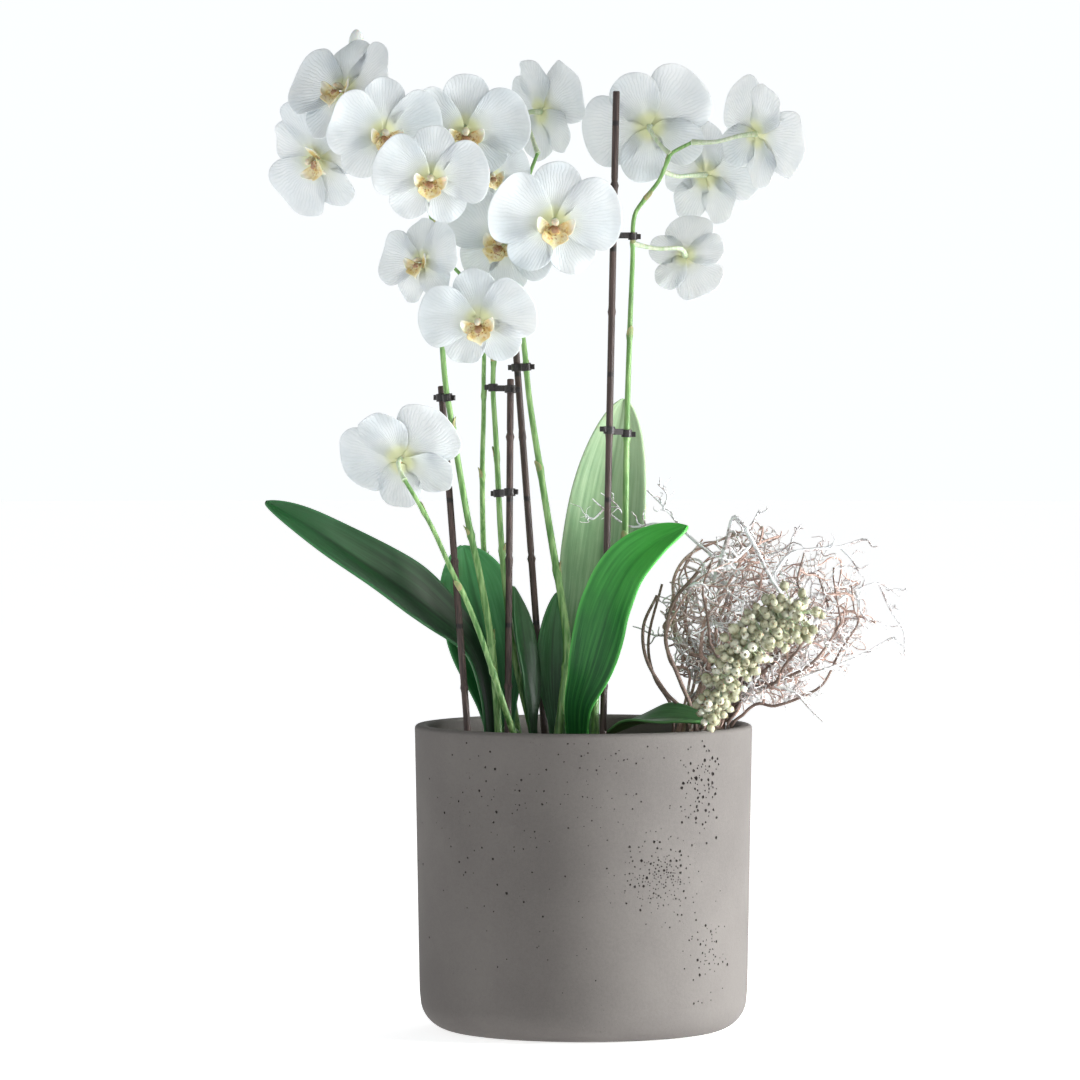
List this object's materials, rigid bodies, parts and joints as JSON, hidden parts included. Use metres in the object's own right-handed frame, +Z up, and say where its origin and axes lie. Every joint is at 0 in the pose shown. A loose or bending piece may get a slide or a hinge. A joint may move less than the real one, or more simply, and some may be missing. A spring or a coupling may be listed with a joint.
{
  "type": "potted orchid",
  "caption": "Two white moth orchids on staked spikes in a round grey cement pot, with broad green leaves, a ball of bleached twigs and a cream berry spray at one side",
  "frame": {"origin": "centre of the pot's flat underside", "axes": "+Z up, -Y towards the side the flowers face, +X to that viewer's right, where the twig ball is"},
  "size_m": [0.4608, 0.25, 0.74],
  "materials": {
    "cement": "matte",
    "bark": "matte",
    "leaf_green": "satin",
    "stem_green": "satin",
    "petal_white": "satin",
    "stake_brown": "matte",
    "clip_black": "satin",
    "twig_bleached": "matte",
    "berry_cream": "satin"
  },
  "bodies": {
    "root": {"pot": "cement", "bark_medium": "bark", "berry_spray": "berry_cream", "bud_top": "petal_white", "flower_01": "petal_white", "flower_02": "petal_white", "flower_03": "petal_white", "flower_04": "petal_white", "flower_05": "petal_white", "flower_06": "petal_white", "flower_07": "petal_white", "flower_08": "petal_white", "flower_09": "petal_white", "flower_10": "petal_white", "flower_11": "petal_white", "flower_12": "petal_white", "flower_13": "petal_white", "flower_14": "petal_white", "flower_15": "petal_white", "flower_16": "petal_white", "twig_01": "twig_bleached", "twig_02": "twig_bleached", "twig_03": "twig_bleached", "twig_04": "twig_bleached", "twig_05": "twig_bleached", "twig_06": "twig_bleached", "twig_07": "twig_bleached", "twig_08": "twig_bleached", "twig_09": "twig_bleached", "leaf_left_long": "leaf_green", "leaf_left_round": "leaf_green", "leaf_left_narrow": "leaf_green", "leaf_middle_small": "leaf_green", "leaf_right_tall": "leaf_green", "leaf_right_bright": "leaf_green", "leaf_right_low": "leaf_green", "spike_far_left": "stem_green", "spike_low_left": "stem_green", "spike_back_left": "stem_green", "spike_centre_left": "stem_green", "spike_centre_right": "stem_green", "spike_right": "stem_green", "crown_left": "stem_green", "crown_right": "stem_green", "stake_left": "stake_brown", "stake_centre_left": "stake_brown", "stake_centre_right": "stake_brown", "stake_right": "stake_brown", "clip_left": "clip_black", "clip_centre_left_upper": "clip_black", "clip_centre_left_lower": "clip_black", "clip_centre_right": "clip_black", "clip_right_upper": "clip_black", "clip_right_lower": "clip_black"}
  },
  "joints": []
}
